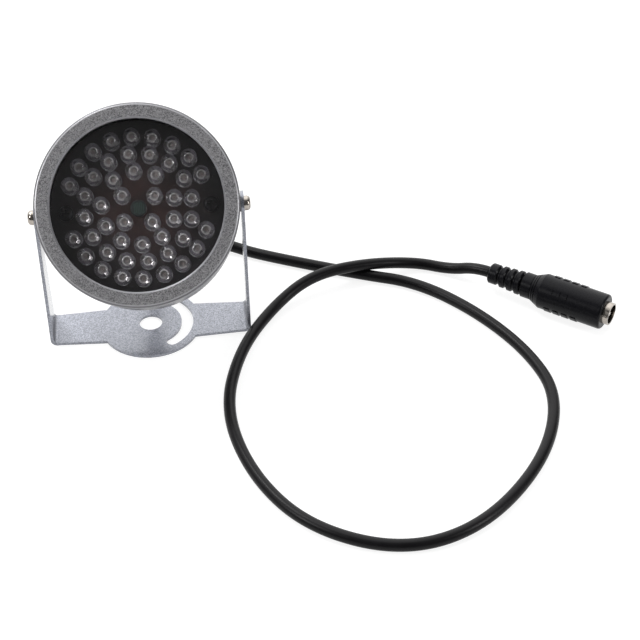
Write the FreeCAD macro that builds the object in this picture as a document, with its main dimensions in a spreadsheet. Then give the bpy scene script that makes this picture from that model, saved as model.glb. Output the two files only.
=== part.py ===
import FreeCAD, Part
import math
import os

import Sketcher

# Infrared illuminator: a round head with a ring of lamps behind glass, tilting in a folded sheet bracket.
# The row frame has its origin at the centre of the stud hole, on the underside of the bracket.
# +Z is up, X runs along the tilt axis, and the lamps face -Y at level.
# The head's own frame has its origin on the tilt axis, +Z out through the glass and +Y towards its top.

os.makedirs("parts", exist_ok=True)
Vector = FreeCAD.Vector
doc = FreeCAD.newDocument("infrared_illuminator")

# Driving dimensions, in millimetres and degrees
SIZES = {
    "rest_tilt": 42.4,
    "drum_diameter": 61.0,
    "drum_wall": 2.5,
    "drum_edge_round": 1.6,
    "rear_wall": 2.5,
    "rear_reach": 22.0,
    "bezel_overhang": 0.5,
    "bezel_depth": 9.0,
    "bezel_face_width": 4.8,
    "bezel_lip": 2.0,
    "bezel_edge_round": 1.0,
    "bezel_inner_chamfer": 0.5,
    "bezel_shoulder_gap": 0.3,
    "thread_depth": 0.9,
    "thread_gap": 0.05,
    "gasket_thick": 0.8,
    "gasket_inset": 0.5,
    "glass_thick": 3.0,
    "glass_gap": 0.3,
    "glass_chamfer": 0.3,
    "led_gap": 0.7,
    "led_height": 8.6,
    "led_flange_width": 0.09,
    "led_flange_thick": 1.0,
    "led_tip": 0.15,
    "led_wall_gap": 3.6,
    "led_sensor_gap": 1.0,
    "led_row_gap": 0.05,
    "sensor_diameter": 5.1,
    "sensor_thick": 2.1,
    "sensor_round": 0.4,
    "board_thick": 1.6,
    "board_gap": 0.6,
    "board_over_boss": 0.2,
    "standoff_flats": 5.0,
    "standoff_gap": 0.8,
    "board_screw_shank": 2.5,
    "board_screw_head": 4.8,
    "board_screw_head_thick": 1.92,
    "board_screw_length": 8.0,
    "screw_fit": 0.05,
    "screw_head_round": 1.2,
    "screw_tip": 0.3,
    "recess_width": 0.7,
    "resistor_diameter": 2.3,
    "resistor_length": 6.3,
    "resistor_gap": 1.65,
    "resistor_clearance": 0.2,
    "resistor_lead": 1.2,
    "lead_wire": 0.6,
    "driver_place": 9.5,
    "capacitor_diameter": 6.3,
    "capacitor_height": 11.0,
    "capacitor_groove": 0.45,
    "capacitor_groove_place": 1.6,
    "capacitor_round": 0.5,
    "transistor_width": 7.8,
    "transistor_height": 10.8,
    "transistor_thick": 2.7,
    "transistor_stand": 2.0,
    "transistor_edge": 0.4,
    "transistor_hole": 3.2,
    "transistor_hole_place": 3.2,
    "transistor_leg_pitch": 2.3,
    "side_gap": 0.5,
    "slide_gap": 0.05,
    "sheet_thick": 1.0,
    "bend_inside": 1.2,
    "base_gap": 8.6,
    "arm_tip_radius": 4.0,
    "arm_root_width": 14.0,
    "neck_width": 15.6,
    "neck_place": 14.0,
    "disc_diameter": 32.6,
    "stud_hole": 7.5,
    "slot_place": 12.0,
    "slot_width": 3.8,
    "slot_sweep": 112.0,
    "pivot_screw_shank": 2.6,
    "pivot_screw_head": 4.7,
    "pivot_head_thick": 2.0,
    "pivot_screw_length": 6.4,
    "pivot_hole_gap": 0.1,
    "pivot_boss": 5.4,
    "pivot_boss_depth": 2.4,
    "washer_diameter": 5.2,
    "cord_diameter": 3.8,
    "grommet_neck": 6.6,
    "grommet_flange": 11.0,
    "grommet_flange_thick": 1.6,
    "grommet_reach": 8.0,
    "grommet_tip": 5.6,
    "grommet_collar": 9.0,
    "cord_inside": 4.5,
    "cord_bore_gap": 0.03,
    "core_diameter": 1.2,
    "tie_width": 2.6,
    "tie_thick": 1.0,
    "tie_gap": 0.1,
    "tie_lock_width": 4.2,
    "tie_lock_height": 3.4,
    "core_gap": 0.1,
    "core_reach": 4.5,
    "jack_body": 11.8,
    "jack_body_length": 22.0,
    "jack_cone_length": 3.6,
    "jack_neck_length": 3.2,
    "jack_collar": 6.9,
    "jack_collar_length": 3.3,
    "jack_rib_width": 2.0,
    "jack_rib_gap": 0.8,
    "jack_rib_edge": 0.45,
    "jack_rib_growth": 0.2,
    "jack_core": 4.9,
    "jack_edge_round": 0.8,
    "jack_roll": 44.0,
    "ring_pitch": 0.85,
    "ring_width": 0.3,
    "ring_depth": 0.22,
    "grip_start": 2.6,
    "grip_pitch": 3.1,
    "grip_width": 1.9,
    "grip_proud": 0.25,
    "grip_sweep": 50.0,
    "bar_start": 4.0,
    "bar_pitch": 2.6,
    "bar_width": 0.6,
    "bar_proud": 0.22,
    "bar_sweep": 18.0,
    "sleeve_diameter": 7.5,
    "sleeve_wall": 0.55,
    "sleeve_length": 12.0,
    "sleeve_reach": 2.1,
    "plug_pin": 2.1,
    "plug_pin_length": 8.5,
    "plug_pin_point": 0.4,
    "insulator_thick": 2.5,
    "insulator_boss": 0.4,
}

sheet = doc.addObject("Spreadsheet::Sheet", "Sizes")
for row, (alias, value) in enumerate(SIZES.items(), 1):
    sheet.set(f"A{row}", alias)
    sheet.set(f"B{row}", str(value))
    sheet.setAlias(f"B{row}", alias)
doc.recompute()


class Size:
    """A size as a number, and as the sheet's expression that gives the same number."""

    def __init__(self, number, text):
        self.number = number
        self.text = text

    def __add__(self, other):
        other = as_size(other)
        return Size(self.number + other.number, f"({self.text} + {other.text})")

    def __sub__(self, other):
        other = as_size(other)
        return Size(self.number - other.number, f"({self.text} - {other.text})")

    def __mul__(self, other):
        other = as_size(other)
        return Size(self.number * other.number, f"({self.text} * {other.text})")

    def __truediv__(self, other):
        other = as_size(other)
        return Size(self.number / other.number, f"({self.text} / {other.text})")

    def __neg__(self):
        return Size(-self.number, f"(-1 * {self.text})")

    def __float__(self):
        return float(self.number)

    def root(self):
        return Size(math.sqrt(self.number), f"sqrt({self.text})")

    def turned(self, angle):
        """This size's two parts, along and across a line that is angle degrees off."""
        angle = as_size(angle)
        turn = math.radians(angle.number)
        along = Size(self.number * math.cos(turn), f"({self.text} * cos({angle.text}))")
        across = Size(self.number * math.sin(turn), f"({self.text} * sin({angle.text}))")
        return along, across


def as_size(value):
    return value if isinstance(value, Size) else Size(float(value), repr(float(value)))


def cell(alias):
    """The size that a cell of the sheet holds."""
    return Size(float(SIZES[alias]), f"Sizes.{alias}")


def bind(thing, path, value):
    """Sets a property from a size, and ties it to the sheet."""
    thing.setExpression(path, as_size(value).text)


# Derived sizes: radii of the drum, bezel and glass
drum_radius = cell("drum_diameter") / 2
drum_bore = drum_radius - cell("drum_wall")
bezel_radius = drum_radius + cell("bezel_overhang")
window_radius = bezel_radius - cell("bezel_face_width")
spigot_radius = drum_radius - cell("thread_depth")
bezel_bore = spigot_radius + cell("thread_gap")
glass_radius = bezel_bore - cell("glass_gap")

# Derived sizes: heights along the head's axis, from the tilt axis
board_back = cell("pivot_boss") / 2 + cell("board_over_boss")
board_front = board_back + cell("board_thick")
glass_back = board_front + cell("led_height") + cell("led_gap")
glass_front = glass_back + cell("glass_thick")
lip_back = glass_front + cell("gasket_thick")
face = lip_back + cell("bezel_lip")
bezel_back = face - cell("bezel_depth")
shoulder = bezel_back - cell("bezel_shoulder_gap")
rear_face = -cell("rear_reach")
rear_inside = rear_face + cell("rear_wall")

# Derived sizes: the bracket round the head
arm_inside = bezel_radius + cell("side_gap")
arm_outside = arm_inside + cell("sheet_thick")
swing_radius = (cell("rear_reach") * cell("rear_reach") + drum_radius * drum_radius).root()
pivot_height = cell("sheet_thick") + cell("base_gap") + swing_radius
boss_face = arm_inside - cell("side_gap")
boss_inside = drum_bore - cell("pivot_boss_depth")
cord_radius = cell("cord_diameter") / 2

# Derived sizes: four rows of lamps fill the board between the sensor and the drum's wall
LAMP_ROWS = 4
sensor_radius = cell("sensor_diameter") / 2
lamp_room = drum_bore - cell("led_wall_gap") - sensor_radius - cell("led_sensor_gap")
led_flange = (lamp_room - cell("led_row_gap") * (LAMP_ROWS - 1)) / LAMP_ROWS
led_lens = led_flange - cell("led_flange_width") * 2
outer_row = drum_bore - cell("led_wall_gap") - led_flange / 2
row_pitch = led_flange + cell("led_row_gap")

# Derived sizes: places of the board's fixings and driver parts, from the pivot bosses inward
board_screw_place = boss_inside - cell("standoff_gap") - cell("standoff_flats") / 2
resistor_radius = cell("resistor_diameter") / 2
resistor_place = board_screw_place - cell("standoff_flats") / 2 - cell("resistor_gap") - resistor_radius

# Derived sizes: where the cord leaves its grommet
grommet_end = rear_face - cell("grommet_reach")


def plane_of(body, role):
    return next(f for f in body.Origin.OriginFeatures if f.Role == role)


def new_body(label):
    body = doc.addObject("PartDesign::Body", label)
    body.Label = label
    return body


def sketch_on(body, role, offset=0):
    """An empty sketch on one of the body's own planes, moved along that plane's normal."""
    sketch = body.newObject("Sketcher::SketchObject", f"{body.Name}_sketch")
    sketch.AttachmentSupport = [(plane_of(body, role), "")]
    sketch.MapMode = "FlatFace"
    bind(sketch, "AttachmentOffset.Base.z", offset)
    return sketch


def fix_point(sketch, geometry, end, point):
    """Ties a sketch point to its two coordinates, or to an axis where one of them is zero."""
    for axis, kind, value in ((-2, "DistanceX", point[0]), (-1, "DistanceY", point[1])):
        if isinstance(value, (int, float)) and value == 0:
            sketch.addConstraint(Sketcher.Constraint("PointOnObject", geometry, end, axis))
        else:
            made = Sketcher.Constraint(kind, -1, 1, geometry, end, float(value))
            index = sketch.addConstraint(made)
            bind(sketch, f"Constraints[{index}]", value)


def draw_polygon(sketch, points):
    """A closed outline of straight lines through points."""
    first = sketch.GeometryCount
    count = len(points)
    corners = [Vector(float(across), float(up)) for across, up in points]
    for start, end in zip(corners, corners[1:] + corners[:1]):
        sketch.addGeometry(Part.LineSegment(start, end))
    for step in range(count):
        following = first + (step + 1) % count
        sketch.addConstraint(Sketcher.Constraint("Coincident", first + step, 2, following, 1))
    for step, point in enumerate(points):
        fix_point(sketch, first + step, 1, point)


def draw_circle(sketch, centre, radius):
    middle = Vector(float(centre[0]), float(centre[1]))
    index = sketch.addGeometry(Part.Circle(middle, Vector(0, 0, 1), float(radius)))
    fix_point(sketch, index, 3, centre)
    made = sketch.addConstraint(Sketcher.Constraint("Radius", index, float(radius)))
    bind(sketch, f"Constraints[{made}]", radius)


def draw_arm(sketch, root, tip_radius, tip_height):
    """An arm's side view: straight tapering edges from the base up to a round tip."""
    tip = float(tip_radius)
    top = float(tip_height)
    foot = float(root)
    sketch.addGeometry(Part.LineSegment(Vector(-tip, top), Vector(-foot, 0)))
    sketch.addGeometry(Part.LineSegment(Vector(-foot, 0), Vector(foot, 0)))
    sketch.addGeometry(Part.LineSegment(Vector(foot, 0), Vector(tip, top)))
    tip_circle = Part.Circle(Vector(0, top), Vector(0, 0, 1), tip)
    sketch.addGeometry(Part.ArcOfCircle(tip_circle, 0, math.pi))
    for line, following, end in ((0, 1, 1), (1, 2, 1), (2, 3, 1)):
        sketch.addConstraint(Sketcher.Constraint("Coincident", line, 2, following, end))
    sketch.addConstraint(Sketcher.Constraint("Coincident", 3, 2, 0, 1))
    fix_point(sketch, 1, 1, (-root, 0))
    fix_point(sketch, 2, 1, (root, 0))
    fix_point(sketch, 0, 1, (-tip_radius, tip_height))
    fix_point(sketch, 3, 1, (tip_radius, tip_height))
    centre = sketch.addConstraint(Sketcher.Constraint("DistanceY", -1, 1, 3, 3, top))
    bind(sketch, f"Constraints[{centre}]", tip_height)


cuts = []


def pad(body, sketch, length):
    made = body.newObject("PartDesign::Pad", f"{body.Name}_pad")
    made.Profile = sketch
    bind(made, "Length", length)
    return made


def pocket_through(body, sketch):
    """Cuts the sketch through the body, both ways from its plane."""
    base = body.Tip
    made = body.newObject("PartDesign::Pocket", f"{body.Name}_pocket")
    made.Profile = sketch
    made.Type = "ThroughAll"
    made.SideType = "Symmetric"
    cuts.append((made, base))
    return made


def pocket_down(body, sketch, depth):
    """Cuts the sketch to a depth, against its plane's normal."""
    base = body.Tip
    made = body.newObject("PartDesign::Pocket", f"{body.Name}_pocket")
    made.Profile = sketch
    bind(made, "Length", depth)
    cuts.append((made, base))
    return made


def revolve(body, points):
    """A turned piece: its half section as (radius, height) points, turned round the body's Z axis."""
    sketch = sketch_on(body, "XZ_Plane")
    draw_polygon(sketch, points)
    made = body.newObject("PartDesign::Revolution", f"{body.Name}_turned")
    made.Profile = sketch
    made.ReferenceAxis = (sketch, ["V_Axis"])
    made.Angle = 360
    doc.recompute()
    return made


def part_turn(body, sketch, sweep):
    """Turns the sketch round the body's Z axis by an angle, half to each side of its plane."""
    made = body.newObject("PartDesign::Revolution", f"{body.Name}_part_turn")
    made.Profile = sketch
    made.ReferenceAxis = (sketch, ["V_Axis"])
    bind(made, "Angle", sweep)
    made.Midplane = True
    doc.recompute()
    return made


def edges_where(feature, wanted):
    return [f"Edge{i}" for i, edge in enumerate(feature.Shape.Edges, 1) if wanted(edge)]


def round_edges(body, kind, radius, wanted):
    """A fillet or chamfer on the edges of the body's tip for which wanted(edge) holds."""
    base = body.Tip
    made = body.newObject(f"PartDesign::{kind}", f"{body.Name}_{kind.lower()}")
    made.Base = (base, edges_where(base, wanted))
    bind(made, "Radius" if kind == "Fillet" else "Size", radius)
    doc.recompute()
    return made


def is_ring(edge, radius, height):
    """True for a circle of this radius round the Z axis at this height."""
    box = edge.BoundBox
    wide = abs(box.XLength / 2 - float(radius)) < 0.02
    return wide and abs(box.ZMin - float(height)) < 0.02 and box.ZLength < 0.02


def mirror_across_x(body, feature):
    made = body.newObject("PartDesign::Mirrored", f"{body.Name}_mirrored")
    made.Originals = [feature]
    made.MirrorPlane = (plane_of(body, "YZ_Plane"), [""])
    body.Tip = made
    doc.recompute()
    return made


def place_in_head(thing, height=0):
    """Stands a piece in the head's frame at a height on its axis, tilted as the head is at rest."""
    height = as_size(height)
    thing.Placement = FreeCAD.Placement(Vector(), FreeCAD.Rotation(Vector(1, 0, 0), 1))
    lean = Size(90, "90") - cell("rest_tilt")
    out, down = height.turned(lean)
    bind(thing, "Placement.Rotation.Angle", lean)
    bind(thing, "Placement.Base.y", -down)
    bind(thing, "Placement.Base.z", pivot_height + out)


def head_placement():
    lean = 90 - float(cell("rest_tilt"))
    return FreeCAD.Placement(Vector(0, 0, float(pivot_height)), FreeCAD.Rotation(Vector(1, 0, 0), lean))


def group(label, shapes, placement):
    """Like pieces, or one piece made of shapes, as one sub-part at a placement."""
    made = doc.addObject("Part::Feature", label)
    made.Label = label
    made.Shape = Part.makeCompound(shapes)
    made.Placement = placement
    return made


def copies(shape, placements):
    """Copies of a pattern's shape, each moved by one placement."""
    made = []
    for placement in placements:
        copy = shape.copy()
        copy.Placement = placement.multiply(copy.Placement)
        made.append(copy)
    return made


# A recess's reach from the middle and its depth, as shares of the head's diameter and thickness
RECESS_REACH = 0.27
RECESS_DEPTH = 0.6


def make_screw(label, head, head_thick, shank, length):
    """A pan head screw along -Z, its head standing on the plane z = 0, with a cross recess."""
    body = new_body(label)
    tip = cell("screw_tip")
    outline = [
        (0, -length),
        (shank / 2 - tip, -length),
        (shank / 2, tip - length),
        (shank / 2, 0),
        (head / 2, 0),
        (head / 2, head_thick),
        (0, head_thick),
    ]
    revolve(body, outline)
    round_edges(body, "Fillet", cell("screw_head_round"), lambda edge: is_ring(edge, head / 2, head_thick))
    reach = head * RECESS_REACH
    half = cell("recess_width") / 2
    sketch = sketch_on(body, "XY_Plane", head_thick)
    cross = [
        (-half, -reach), (half, -reach), (half, -half), (reach, -half), (reach, half), (half, half),
        (half, reach), (-half, reach), (-half, half), (-reach, half), (-reach, -half), (-half, -half),
    ]
    draw_polygon(sketch, cross)
    pocket_down(body, sketch, head_thick * RECESS_DEPTH)
    doc.recompute()
    return body


def make_ring(label, outer, inner, thick):
    """A flat ring standing on the plane z = 0."""
    body = new_body(label)
    revolve(body, [(inner, 0), (outer, 0), (outer, thick), (inner, thick)])
    return body


# Bracket: one strip of sheet folded into a U, with a disc for the mounting stud and an arc slot
def make_bracket():
    body = new_body("bracket")
    thick = cell("sheet_thick")
    root = cell("arm_root_width") / 2
    neck = cell("neck_width") / 2
    neck_x = cell("neck_place")
    strip = sketch_on(body, "XY_Plane")
    inner_bend = cell("bend_inside")
    fold = arm_inside - inner_bend * 2
    right_side = [
        (neck_x, -neck), (fold, -root), (arm_outside, -root),
        (arm_outside, root), (fold, root), (neck_x, neck),
    ]
    left_side = [
        (-neck_x, neck), (-fold, root), (-arm_outside, root),
        (-arm_outside, -root), (-fold, -root), (-neck_x, -neck),
    ]
    draw_polygon(strip, right_side + left_side)
    pad(body, strip, thick)
    disc = sketch_on(body, "XY_Plane")
    draw_circle(disc, (0, 0), cell("disc_diameter") / 2)
    pad(body, disc, thick)
    arm = sketch_on(body, "YZ_Plane", arm_inside)
    draw_arm(arm, root, cell("arm_tip_radius"), pivot_height)
    arm_pad = pad(body, arm, thick)
    mirror_across_x(body, arm_pad)

    def fold_edge(edge, x, z):
        box = edge.BoundBox
        along_y = box.YLength > 1 and box.XLength < 0.01 and box.ZLength < 0.01
        return along_y and abs(abs(box.XMin) - float(x)) < 0.01 and abs(box.ZMin - float(z)) < 0.01

    round_edges(body, "Fillet", inner_bend + thick, lambda edge: fold_edge(edge, arm_outside, 0))
    round_edges(body, "Fillet", inner_bend, lambda edge: fold_edge(edge, arm_inside, thick))

    stud = sketch_on(body, "XY_Plane")
    draw_circle(stud, (0, 0), cell("stud_hole") / 2)
    pocket_through(body, stud)
    slot_half = cell("slot_width") / 2
    slot_x = cell("slot_place")
    section = sketch_on(body, "XZ_Plane")
    low = [(slot_x - slot_half, -thick), (slot_x + slot_half, -thick)]
    high = [(slot_x + slot_half, thick * 2), (slot_x - slot_half, thick * 2)]
    draw_polygon(section, low + high)
    base = body.Tip
    groove = body.newObject("PartDesign::Groove", "bracket_arc_slot")
    groove.Profile = section
    groove.ReferenceAxis = (section, ["V_Axis"])
    bind(groove, "Angle", cell("slot_sweep"))
    groove.Midplane = True
    cuts.append((groove, base))
    ends = sketch_on(body, "XY_Plane")
    along, across = slot_x.turned(cell("slot_sweep") / 2)
    draw_circle(ends, (along, across), slot_half)
    draw_circle(ends, (along, -across), slot_half)
    pocket_through(body, ends)
    holes = sketch_on(body, "YZ_Plane")
    draw_circle(holes, (0, pivot_height), cell("pivot_screw_shank") / 2 + cell("pivot_hole_gap"))
    pocket_through(body, holes)
    doc.recompute()
    return body


# Housing: the drum, closed at the rear, with pivot bosses and a threaded spigot for the bezel
def make_housing():
    body = new_body("housing")
    outline = [
        (0, rear_face),
        (drum_radius, rear_face),
        (drum_radius, shoulder),
        (spigot_radius, shoulder),
        (spigot_radius, glass_back),
        (drum_bore, glass_back),
        (drum_bore, rear_inside),
        (0, rear_inside),
    ]
    revolve(body, outline)
    round_edges(body, "Fillet", cell("drum_edge_round"), lambda edge: is_ring(edge, drum_radius, rear_face))
    boss = sketch_on(body, "YZ_Plane", boss_inside)
    draw_circle(boss, (0, 0), cell("pivot_boss") / 2)
    boss_pad = pad(body, boss, boss_face - boss_inside)
    mirror_across_x(body, boss_pad)
    thread = sketch_on(body, "YZ_Plane")
    draw_circle(thread, (0, 0), cell("pivot_screw_shank") / 2 + cell("screw_fit"))
    pocket_through(body, thread)
    cord_hole = sketch_on(body, "XY_Plane", rear_inside)
    draw_circle(cord_hole, (0, 0), cell("grommet_neck") / 2 + cell("screw_fit"))
    pocket_down(body, cord_hole, cell("rear_wall"))
    doc.recompute()
    place_in_head(body)
    return body


# Bezel: a turned ring with a rounded front edge, screwed onto the housing over glass and gasket
def make_bezel():
    body = new_body("bezel")
    chamfer = cell("bezel_inner_chamfer")
    outline = [
        (bezel_bore, bezel_back),
        (bezel_radius, bezel_back),
        (bezel_radius, face),
        (window_radius + chamfer, face),
        (window_radius, face - chamfer),
        (window_radius, lip_back),
        (bezel_bore, lip_back),
    ]
    revolve(body, outline)
    round_edges(body, "Fillet", cell("bezel_edge_round"), lambda edge: is_ring(edge, bezel_radius, face))
    place_in_head(body)
    return body


# Window glass and its gasket: the glass lies on the housing's rim, the gasket between glass and bezel lip
def make_window():
    glass = new_body("window_glass")
    thick = cell("glass_thick")
    chamfer = cell("glass_chamfer")
    outline = [
        (0, 0),
        (glass_radius - chamfer, 0),
        (glass_radius, chamfer),
        (glass_radius, thick - chamfer),
        (glass_radius - chamfer, thick),
        (0, thick),
    ]
    revolve(glass, outline)
    place_in_head(glass, glass_back)
    inner = window_radius + cell("gasket_inset")
    gasket = make_ring("window_gasket", glass_radius - chamfer, inner, cell("gasket_thick"))
    place_in_head(gasket, glass_front)


# Lamp board: a round circuit board held by two screws beside the pivot bosses
def make_board():
    body = new_body("lamp_board")
    outline = sketch_on(body, "XY_Plane")
    draw_circle(outline, (0, 0), drum_bore - cell("board_gap"))
    pad(body, outline, cell("board_thick"))
    holes = sketch_on(body, "XY_Plane")
    hole_radius = cell("board_screw_shank") / 2 + cell("screw_fit")
    draw_circle(holes, (board_screw_place, 0), hole_radius)
    draw_circle(holes, (-board_screw_place, 0), hole_radius)
    pocket_through(body, holes)
    doc.recompute()
    place_in_head(body, board_back)
    return body


# Lamps: 48 clear lamps in four rows, each with a flange on the board and a domed lens
def make_lamp_pattern():
    body = new_body("lamp_pattern")
    lens = led_lens / 2
    flange = led_flange / 2
    thick = cell("led_flange_thick")
    top = cell("led_height")
    revolve(body, [(0, 0), (flange, 0), (flange, thick), (lens, thick), (lens, top), (0, top)])
    round_edges(body, "Fillet", lens - cell("led_tip"), lambda edge: is_ring(edge, lens, top))
    return body


def lamp_run(count, turn, middle):
    """Angles, clockwise from the top, of lamps a turn apart on both sides of a middle angle."""
    return [middle + (step - (count - 1) / 2) * turn for step in range(count)]


def make_lamp_ring(label, pattern, row, angles):
    """Lamps on one row, counted inward from the drum's wall, at angles round the board."""
    radius = float(outer_row - row_pitch * row)
    places = []
    for angle in angles:
        out = math.radians(angle)
        spot = Vector(radius * math.sin(out), radius * math.cos(out), float(board_front))
        places.append(FreeCAD.Placement(spot, FreeCAD.Rotation()))
    group(label, copies(pattern.Shape, places), head_placement())


def make_lamps():
    pattern = make_lamp_pattern()
    upper = lamp_run(count=9, turn=16.8, middle=-1.3)
    lower = lamp_run(count=9, turn=17.0, middle=180.0)
    make_lamp_ring("lamp_ring_outer", pattern, 0, upper + lower)
    make_lamp_ring("lamp_ring_third", pattern, 1, lamp_run(count=16, turn=22.5, middle=162.4))
    upper = lamp_run(count=3, turn=34.8, middle=-3.0)
    lower = lamp_run(count=7, turn=33.2, middle=178.0)
    make_lamp_ring("lamp_ring_second", pattern, 2, upper + lower)
    upper = lamp_run(count=2, turn=108.0, middle=4.0)
    lower = lamp_run(count=2, turn=88.0, middle=184.0)
    make_lamp_ring("lamp_ring_inner", pattern, 3, upper + lower)


# Light sensor: a flat round cell in the middle of the board, which switches the lamps on in the dark
def make_sensor():
    body = new_body("light_sensor")
    thick = cell("sensor_thick")
    revolve(body, [(0, 0), (sensor_radius, 0), (sensor_radius, thick), (0, thick)])
    round_edges(body, "Fillet", cell("sensor_round"), lambda edge: is_ring(edge, sensor_radius, thick))
    place_in_head(body, board_front)


# Board fixings: two hexagonal standoffs on the rear wall, and a black screw into each
def make_board_fixings():
    shank = cell("board_screw_shank") / 2
    height = board_back - rear_inside
    post = doc.addObject("Part::Prism", "standoff_blank")
    post.Polygon = 6
    bind(post, "Circumradius", cell("standoff_flats") / math.sqrt(3))
    bind(post, "Height", height)
    drill = doc.addObject("Part::Cylinder", "standoff_drill")
    bind(drill, "Radius", shank + cell("screw_fit"))
    bind(drill, "Height", height)
    standoff = doc.addObject("Part::Cut", "standoff_pattern")
    standoff.Base = post
    standoff.Tool = drill
    head = cell("board_screw_head")
    head_thick = cell("board_screw_head_thick")
    length = cell("board_screw_length")
    screw = make_screw("board_screw_pattern", head, head_thick, cell("board_screw_shank"), length)
    doc.recompute()
    feet = []
    heads = []
    for side in (1, -1):
        reach = side * float(board_screw_place)
        feet.append(FreeCAD.Placement(Vector(reach, 0, float(rear_inside)), FreeCAD.Rotation()))
        heads.append(FreeCAD.Placement(Vector(reach, 0, float(board_front)), FreeCAD.Rotation()))
    group("board_standoffs", copies(standoff.Shape, feet), head_placement())
    group("board_screws", copies(screw.Shape, heads), head_placement())


# Pivot hardware: a screw through each arm into the drum's boss, and a plastic washer between them
def make_pivots():
    shank = cell("pivot_screw_shank")
    head = cell("pivot_screw_head")
    length = cell("pivot_screw_length")
    screw = make_screw("pivot_screw_pattern", head, cell("pivot_head_thick"), shank, length)
    bore = shank / 2 + cell("screw_fit")
    thick = cell("side_gap") - cell("slide_gap")
    washer = make_ring("washer_pattern", cell("washer_diameter") / 2, bore, thick)
    head_seat = float(arm_outside + cell("slide_gap"))
    washer_seat = float(boss_face)
    screws = []
    washers = []
    for side in (1, -1):
        sideways = FreeCAD.Rotation(Vector(0, 1, 0), 90 * side)
        screws.append(FreeCAD.Placement(Vector(side * head_seat, 0, 0), sideways))
        washers.append(FreeCAD.Placement(Vector(side * washer_seat, 0, 0), sideways))
    group("pivot_screws", copies(screw.Shape, screws), head_placement())
    group("pivot_washers", copies(washer.Shape, washers), head_placement())


# Driver parts on the back of the board: resistors, a capacitor and a switching transistor
RESISTORS = 6


def make_resistor():
    """A resistor hanging under the plane z = 0, with its two wire ends up to that plane."""
    radius = float(resistor_radius)
    length = float(cell("resistor_length"))
    wire = float(cell("lead_wire")) / 2
    reach = length / 2 + float(cell("resistor_lead"))
    along = Vector(1, 0, 0)
    depth = radius + float(cell("resistor_clearance"))
    barrel = Part.makeCylinder(radius, length, Vector(-length / 2, 0, -depth), along)
    wires = [Part.makeCylinder(wire, 2 * reach, Vector(-reach, 0, -depth), along)]
    for side in (1, -1):
        elbow = Vector(side * reach, 0, -depth)
        wires += [Part.makeCylinder(wire, depth, elbow), Part.makeSphere(wire, elbow)]
    return barrel.multiFuse(wires).removeSplitter()


def make_capacitor():
    """A can capacitor standing under the plane z = 0, with the crimp groove round its foot."""
    radius = float(cell("capacitor_diameter")) / 2
    height = float(cell("capacitor_height"))
    groove = float(cell("capacitor_groove"))
    can = Part.makeCylinder(radius, height, Vector(0, 0, -height))
    crimp_spot = Vector(0, 0, -float(cell("capacitor_groove_place")))
    crimp = Part.makeTorus(radius + groove / 4, groove, crimp_spot)
    low_edges = [edge for edge in can.Edges if abs(edge.BoundBox.ZMax + height) < 0.01]
    rim = [edge for edge in low_edges if edge.BoundBox.XLength > 1]
    return can.makeFillet(float(cell("capacitor_round")), rim).cut(crimp)


def make_transistor():
    """A flat transistor standing under the plane z = 0 on three legs, with a hole through its tab."""
    width = float(cell("transistor_width"))
    height = float(cell("transistor_height"))
    thick = float(cell("transistor_thick"))
    leg = float(cell("lead_wire"))
    stand = float(cell("transistor_stand"))
    end = -stand - height
    case = Part.makeBox(width, thick, height, Vector(-width / 2, -thick / 2, end))
    uprights = [edge for edge in case.Edges if edge.BoundBox.ZLength > height - 0.1]
    case = case.makeChamfer(float(cell("transistor_edge")), uprights)
    hole_spot = Vector(0, -thick, end + float(cell("transistor_hole_place")))
    hole = Part.makeCylinder(float(cell("transistor_hole")) / 2, thick * 2, hole_spot, Vector(0, 1, 0))
    legs = []
    for side in (-1, 0, 1):
        corner = Vector(side * float(cell("transistor_leg_pitch")) - leg / 2, -leg / 2, -stand - leg)
        legs.append(Part.makeBox(leg, leg, stand + leg, corner))
    return case.cut(hole).multiFuse(legs).removeSplitter()


def make_driver_parts():
    back = float(board_back)
    resistor = make_resistor()
    places = []
    for step in range(RESISTORS):
        turn = FreeCAD.Rotation(Vector(0, 0, 1), (step + 0.5) * 360 / RESISTORS)
        spot = turn.multVec(Vector(0, float(resistor_place), 0)) + Vector(0, 0, back)
        places.append(FreeCAD.Placement(spot, turn))
    group("resistors", copies(resistor, places), head_placement())
    reach = float(cell("driver_place"))
    spot = FreeCAD.Placement(Vector(0, -reach, back), FreeCAD.Rotation())
    group("capacitor", copies(make_capacitor(), [spot]), head_placement())
    spot = FreeCAD.Placement(Vector(0, reach, back), FreeCAD.Rotation())
    group("transistor", copies(make_transistor(), [spot]), head_placement())


# Cord entry: a rubber grommet in the rear wall, with a tapering sleeve outside and a collar inside
def make_grommet():
    body = new_body("cord_grommet")
    bore = cord_radius + cell("cord_bore_gap")
    flange = cell("grommet_flange") / 2
    flange_back = rear_face - cell("grommet_flange_thick")
    neck = cell("grommet_neck") / 2
    collar = cell("grommet_collar") / 2
    tip = cell("grommet_tip") / 2
    outline = [
        (bore, grommet_end),
        (tip, grommet_end),
        (neck, flange_back),
        (flange, flange_back),
        (flange, rear_face),
        (neck, rear_face),
        (neck, rear_inside),
        (collar, rear_inside),
        (collar, rear_inside + cell("grommet_flange_thick")),
        (bore, rear_inside + cell("grommet_flange_thick")),
    ]
    revolve(body, outline)
    place_in_head(body)


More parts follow.
